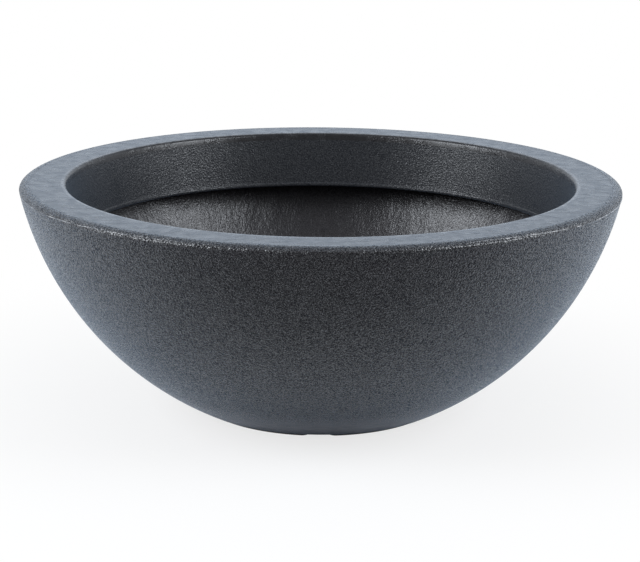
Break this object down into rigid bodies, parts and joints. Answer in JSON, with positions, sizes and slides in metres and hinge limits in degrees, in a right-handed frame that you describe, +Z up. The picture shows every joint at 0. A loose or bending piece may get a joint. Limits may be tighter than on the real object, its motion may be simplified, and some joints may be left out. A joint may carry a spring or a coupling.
{
  "type": "bowl planter",
  "caption": "Low round bowl planter with a wide flat rim, an inner skirt, removable drain plugs and foot pads under the base.",
  "frame": {"origin": "on the ground under the centre of the base, at the underside of the foot pads", "axes": "+Z up along the bowl's axis, -Y towards the front, +X to the right"},
  "size_m": [0.66, 0.6598, 0.254],
  "materials": {
    "speckled_shell": "charcoal moulded plastic with fine light speckle, satin",
    "plug_rubber": "matt black rubber",
    "pad_rubber": "matt dark grey rubber"
  },
  "bodies": {
    "bowl": {"planter_shell": "speckled_shell", "foot_pad_front_right": "pad_rubber", "foot_pad_back_right": "pad_rubber", "foot_pad_back_left": "pad_rubber", "foot_pad_front_left": "pad_rubber"},
    "plug_front_right": {"drain_plug_front_right": "plug_rubber"},
    "plug_back_right": {"drain_plug_back_right": "plug_rubber"},
    "plug_back_left": {"drain_plug_back_left": "plug_rubber"},
    "plug_front_left": {"drain_plug_front_left": "plug_rubber"}
  },
  "joints": [
    {"name": "pull_front_right", "type": "slide", "parent": "bowl", "child": "plug_front_right", "axis": [0, 0, 1], "range_m": [0, 0.26]},
    {"name": "pull_back_right", "type": "slide", "parent": "bowl", "child": "plug_back_right", "axis": [0, 0, 1], "range_m": [0, 0.26]},
    {"name": "pull_back_left", "type": "slide", "parent": "bowl", "child": "plug_back_left", "axis": [0, 0, 1], "range_m": [0, 0.26]},
    {"name": "pull_front_left", "type": "slide", "parent": "bowl", "child": "plug_front_left", "axis": [0, 0, 1], "range_m": [0, 0.26]}
  ]
}
